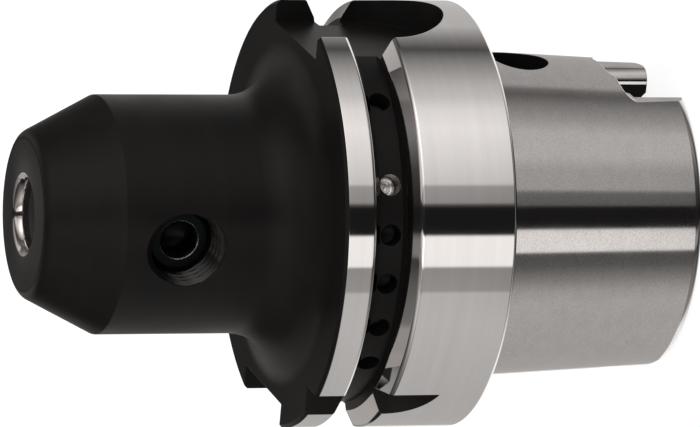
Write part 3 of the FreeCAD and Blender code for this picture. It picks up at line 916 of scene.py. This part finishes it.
# Light panels round the holder, by bearing from the camera in degrees and by level. A hard edge has two
# bearings close together. The wall stands behind the flange's reflection, the low panels behind the
# taper's, and the groove's flanks mirror what is under those.
WALL_PANELS = (
    (-180, 0.10), (-176, 0.10), (-175, 0.9), (-168, 0.9), (-165, 0.50), (-110, 0.57), (-60, 0.64),
    (-43.2, 0.63), (-42.2, 0.41), (-29.2, 0.36), (-28.2, 1.20), (-12.4, 1.22), (-11.6, 0.012),
    (4, 0.012), (5, 0.36), (14.2, 0.42), (15, 0.77), (30, 0.97), (46, 1.12), (57, 1.0), (65, 0.75),
    (72, 0.65), (81, 0.46), (90, 0.28), (99, 0.085), (108, 0.27), (121, 0.60), (165, 0.62),
    (172, 0.5), (176, 0.10), (180, 0.10),
)
LOW_PANELS = (
    (-180, 0.10), (-176, 0.10), (-175, 0.8), (-168, 0.8), (-165, 0.48), (-95, 0.53), (-70, 0.56),
    (-60, 0.49), (-50, 0.30), (-40, 0.14), (-29.5, 0.10), (-28.5, 1.12), (-12.4, 1.06),
    (-11.6, 0.012), (4.6, 0.012), (5.6, 0.16), (15.2, 0.19), (16, 0.49), (31, 0.50), (42, 0.65),
    (50, 0.65), (60, 0.63), (72, 0.43), (83, 0.30), (95, 0.14), (101, 0.20), (106, 0.46),
    (126, 0.48), (172, 0.45), (176, 0.10),
)
# The same by the sine of the elevation: how the level grows and fades, and what shows under the panels
# in front of the holder and behind it.
HEIGHT_GAIN = ((-0.2, 1.0), (0.0, 1.0), (0.16, 1.6), (0.4, 1.6), (0.8, 0.75), (1.0, 0.65))
SHARED_PANELS = (
    (-95, 0.25), (-60, 0.7), (-35, 0.75), (-28, 0.9), (30, 1.0), (60, 1.0), (90, 0.75), (105, 0.4),
    (125, 0.12),
)
UPPER_PANELS = (
    (-180, 0.45), (-166, 0.4), (-163, 0.62), (-149, 0.62), (-145, 0.03), (-125, 0.02), *SHARED_PANELS,
    (145, 0.14), (162, 0.3), (172, 0.4), (180, 0.45),
)
TOP_PANELS = (
    (-180, 0.45), (-156, 0.3), (-152, 0.6), (-140, 0.6), (-137, 0.05), *SHARED_PANELS, (135, 0.9),
    (155, 0.9), (160, 0.4), (180, 0.45),
)
GROOVE_PANELS = (
    (-180, 0.4), (-100, 0.36), (-85, 0.31), (-71, 0.28), (-58, 0.24), (-45, 0.17), (-34, 0.085),
    (-31, 0.10), (-28, 0.38), (-18, 0.36), (-15, 0.2), (-12.5, 0.03), (-4, 0.018), (3, 0.018),
    (6, 0.035), (16, 0.057), (29, 0.09), (42, 0.20), (50, 0.30), (57, 0.336), (70, 0.26),
    (81, 0.195), (101, 0.09), (180, 0.2),
)
UNDER_FRONT = ((-1.0, 0.3), (-0.85, 0.5), (-0.76, 1.0), (-0.4, 1.0))
UNDER_BACK = ((-1.0, 0.25), (-0.93, 0.32), (-0.75, 1.0), (-0.65, 1.2), (-0.3, 1.2))
PANEL_PEAK = 1.3
GAIN_PEAK = 1.6
# Heights between which one set of panels passes into the next, and the places of two gaps: one straight
# behind the holder below the horizon, and one that runs over the top.
LOW_TO_WALL = (-0.36, -0.33)
TO_UPPER = (-0.22, -0.08)
UPPER_TO_TOP = (0.46, 0.52)
BACK_GAP = (math.radians(174), math.radians(176))
BACK_GAP_TOP = (-0.28, -0.22)
BACK_GAP_COLOUR = (0.43, 0.425, 0.42)
TOP_GAP = ((-0.13, -0.1), (0.05, 0.08))
TOP_GAP_START = (0.25, 0.4)
TOP_GAP_COLOUR = (0.01, 0.01, 0.01)
FRONT = (-0.25, 0.0)
RIM_BACK, RIM_FRONT, RIM_BLUR = -0.44, -0.465, 0.012


def by_bearing(tree, position, stops, peak=PANEL_PEAK):
    """Level at a bearing, from (degrees, level) stops, as a share of the peak."""
    return ramp(tree, position, [(degrees / 360 + 0.5, level / peak) for degrees, level in stops])


def by_height(tree, height, stops, peak):
    """Level at a height, from (height, level) stops, as a share of the peak."""
    low, high = stops[0][0], stops[-1][0]
    along = spread(tree, height, low, high, 0.0, 1.0, "LINEAR")
    return ramp(tree, along, [((place - low) / (high - low), level / peak) for place, level in stops])


def studio_world(studio):
    """White backdrop for the camera, metal and glass, and even light for matt surfaces."""
    world = bpy.data.worlds.new("studio")
    bpy.context.scene.world = world
    world.use_nodes = True
    tree = world.node_tree
    tree.nodes.clear()
    white = put(tree, "ShaderNodeBackground", {"Color": WHITE, "Strength": 1.0})
    even = put(tree, "ShaderNodeBackground", {"Color": WHITE, "Strength": studio.room_light})
    seen = backdrop_rays(tree)
    mixed = put(tree, "ShaderNodeMixShader", {0: seen, 1: even.outputs[0], 2: white.outputs[0]})
    output = put(tree, "ShaderNodeOutputWorld")
    tree.links.new(mixed.outputs[0], output.inputs["Surface"])


def backdrop_rays(tree):
    """One for the rays that see the white backdrop: from the camera, from metal and through glass."""
    path = put(tree, "ShaderNodeLightPath")
    mirrored = calc(tree, "MAXIMUM", path.outputs["Is Glossy Ray"], path.outputs["Is Transmission Ray"])
    return calc(tree, "MAXIMUM", path.outputs["Is Camera Ray"], mirrored)


def light_tent(studio):
    """Round tent far out with light panels and dark gaps, which only polished surfaces show."""
    bpy.ops.mesh.primitive_uv_sphere_add(segments=96, ring_count=48, radius=20.0)
    tent = bpy.context.object
    tent.name = "light_tent"
    tent.visible_camera = False
    tent.visible_diffuse = False
    tent.visible_shadow = False
    tree, shader = start_material("tent_panels")
    place = put(tree, "ShaderNodeTexCoord").outputs["Object"]
    away = vector_calc(tree, "NORMALIZE", place)
    inputs = {"Vector": away, "Angle": -studio.turn}
    turned = put(tree, "ShaderNodeVectorRotate", inputs, rotation_type="Z_AXIS")
    parts = put(tree, "ShaderNodeSeparateXYZ", {0: turned.outputs[0]})
    toward, across, height = parts.outputs["X"], parts.outputs["Y"], parts.outputs["Z"]
    bearing = calc(tree, "ARCTAN2", across, toward)
    position = calc(tree, "MULTIPLY_ADD", bearing, 1 / (2 * math.pi), 0.5)
    wall = by_bearing(tree, position, WALL_PANELS)
    low = by_bearing(tree, position, LOW_PANELS)
    sides = blend_colours(tree, rising(tree, height, LOW_TO_WALL), low, wall)
    sides = multiply_colours(tree, sides, by_height(tree, height, HEIGHT_GAIN, GAIN_PEAK))
    upper = by_bearing(tree, position, UPPER_PANELS, 1.0)
    top = by_bearing(tree, position, TOP_PANELS, 1.0)
    upper = blend_colours(tree, rising(tree, height, UPPER_TO_TOP), upper, top)
    faded = multiply_colours(tree, sides, upper)
    sides = blend_colours(tree, rising(tree, height, TO_UPPER), sides, faded)
    behind = rising(tree, calc(tree, "ABSOLUTE", bearing), BACK_GAP)
    back_gap = calc(tree, "MULTIPLY", behind, falling(tree, height, BACK_GAP_TOP))
    sides = blend_colours(tree, back_gap, sides, BACK_GAP_COLOUR)
    near_side, far_side = TOP_GAP
    top_gap = calc(tree, "MULTIPLY", rising(tree, across, near_side), falling(tree, across, far_side))
    top_gap = calc(tree, "MULTIPLY", top_gap, rising(tree, height, TOP_GAP_START))
    sides = blend_colours(tree, top_gap, sides, TOP_GAP_COLOUR)
    groove = by_bearing(tree, position, GROOVE_PANELS)
    under_front = multiply_colours(tree, groove, by_height(tree, height, UNDER_FRONT, GAIN_PEAK))
    under_back = by_height(tree, height, UNDER_BACK, PANEL_PEAK * GAIN_PEAK)
    front = rising(tree, toward, FRONT)
    under = blend_colours(tree, front, under_back, under_front)
    rim = spread(tree, front, 0.0, 1.0, RIM_BACK, RIM_FRONT, "LINEAR")
    below = falling(tree, calc(tree, "SUBTRACT", height, rim), (-RIM_BLUR, RIM_BLUR))
    panels = blend_colours(tree, below, sides, under)
    shader.inputs["Base Color"].default_value = (0.0, 0.0, 0.0, 1.0)
    shader.inputs["Specular IOR Level"].default_value = 0.0
    tree.links.new(panels, shader.inputs["Emission Color"])
    shader.inputs["Emission Strength"].default_value = PANEL_PEAK * GAIN_PEAK * studio.panel_light
    made = material("tent_panels")
    made.cycles.emission_sampling = "NONE"
    tent.data.materials.append(made)


def studio_floor():
    """White floor that takes the holder's shadow and that mirror rays don't see."""
    reach = 3
    corners = [(-reach, -reach, 0), (reach, -reach, 0), (reach, reach, 0), (-reach, reach, 0)]
    floor = mesh_object("floor", corners, [(0, 1, 2, 3)])
    tree, shader = start_material("floor_white")
    shader.inputs["Base Color"].default_value = (0.3, 0.3, 0.3, 1.0)
    shader.inputs["Roughness"].default_value = 0.9
    shader.inputs["Specular IOR Level"].default_value = 0.0
    shader.inputs["Emission Color"].default_value = WHITE
    glow = 0.85
    seen = calc(tree, "MULTIPLY", backdrop_rays(tree), glow)
    tree.links.new(seen, shader.inputs["Emission Strength"])
    floor.data.materials.append(material("floor_white"))
    floor.visible_glossy = False


def studio_camera(studio):
    """Camera at the angle of the photograph, with the holder's axis across the picture."""
    toward = Vector((math.cos(studio.turn), math.sin(studio.turn), 0))
    up = Vector((-math.sin(studio.turn), math.cos(studio.turn), 0))
    axis = Vector((0, 0, 1))
    back = toward * math.cos(studio.elevation) + axis * math.sin(studio.elevation)
    right = toward * math.sin(studio.elevation) - axis * math.cos(studio.elevation)
    c, s = math.cos(studio.roll), math.sin(studio.roll)
    rolled_right = right * c + up * s
    rolled_up = up * c - right * s
    data = bpy.data.cameras.new("camera")
    data.sensor_width = 36.0
    data.lens = studio.lens
    data.clip_start = 0.05
    data.clip_end = 50.0
    camera = bpy.data.objects.new("camera", data)
    bpy.context.scene.collection.objects.link(camera)
    turn = Matrix((rolled_right, rolled_up, back)).transposed().to_4x4()
    camera.matrix_world = Matrix.Translation(axis * studio.target + back * studio.distance) @ turn
    bpy.context.scene.camera = camera


class HOLDER_OT_studio(bpy.types.Operator):
    """Set up the white floor, the light panels and the camera"""

    bl_idname = "holder.studio"
    bl_label = "Studio"

    def execute(self, context):
        studio = context.scene.holder_studio
        studio_world(studio)
        light_tent(studio)
        studio_floor()
        studio_camera(studio)
        context.scene.view_settings.view_transform = "Standard"
        return {"FINISHED"}


class HOLDER_PT_panel(bpy.types.Panel):
    """Lists the steps and the sizes, finishes and studio settings"""

    bl_idname = "HOLDER_PT_panel"
    bl_label = "End mill holder"
    bl_space_type = "VIEW_3D"
    bl_region_type = "UI"
    bl_category = "Holder"

    def draw(self, context):
        layout = self.layout
        scene = context.scene
        for step in (HOLDER_OT_finishes, HOLDER_OT_body, HOLDER_OT_screw, HOLDER_OT_studio):
            layout.operator(step.bl_idname)
        for group in (scene.holder_sizes, scene.holder_finish, scene.holder_studio):
            box = layout.box()
            for name in group.__annotations__:
                box.prop(group, name)


CLASSES = (
    HolderSizes,
    HolderFinish,
    HolderStudio,
    HOLDER_OT_finishes,
    HOLDER_OT_body,
    HOLDER_OT_screw,
    HOLDER_OT_studio,
    HOLDER_PT_panel,
)


def register():
    for entry in CLASSES:
        bpy.utils.register_class(entry)
    bpy.types.Scene.holder_sizes = PointerProperty(type=HolderSizes)
    bpy.types.Scene.holder_finish = PointerProperty(type=HolderFinish)
    bpy.types.Scene.holder_studio = PointerProperty(type=HolderStudio)


def unregister():
    del bpy.types.Scene.holder_studio
    del bpy.types.Scene.holder_finish
    del bpy.types.Scene.holder_sizes
    for entry in reversed(CLASSES):
        bpy.utils.unregister_class(entry)


def main():
    register()
    bpy.ops.holder.finishes()
    bpy.ops.holder.body()
    bpy.ops.holder.screw()
    bpy.ops.holder.studio()


if __name__ == "__main__":
    main()
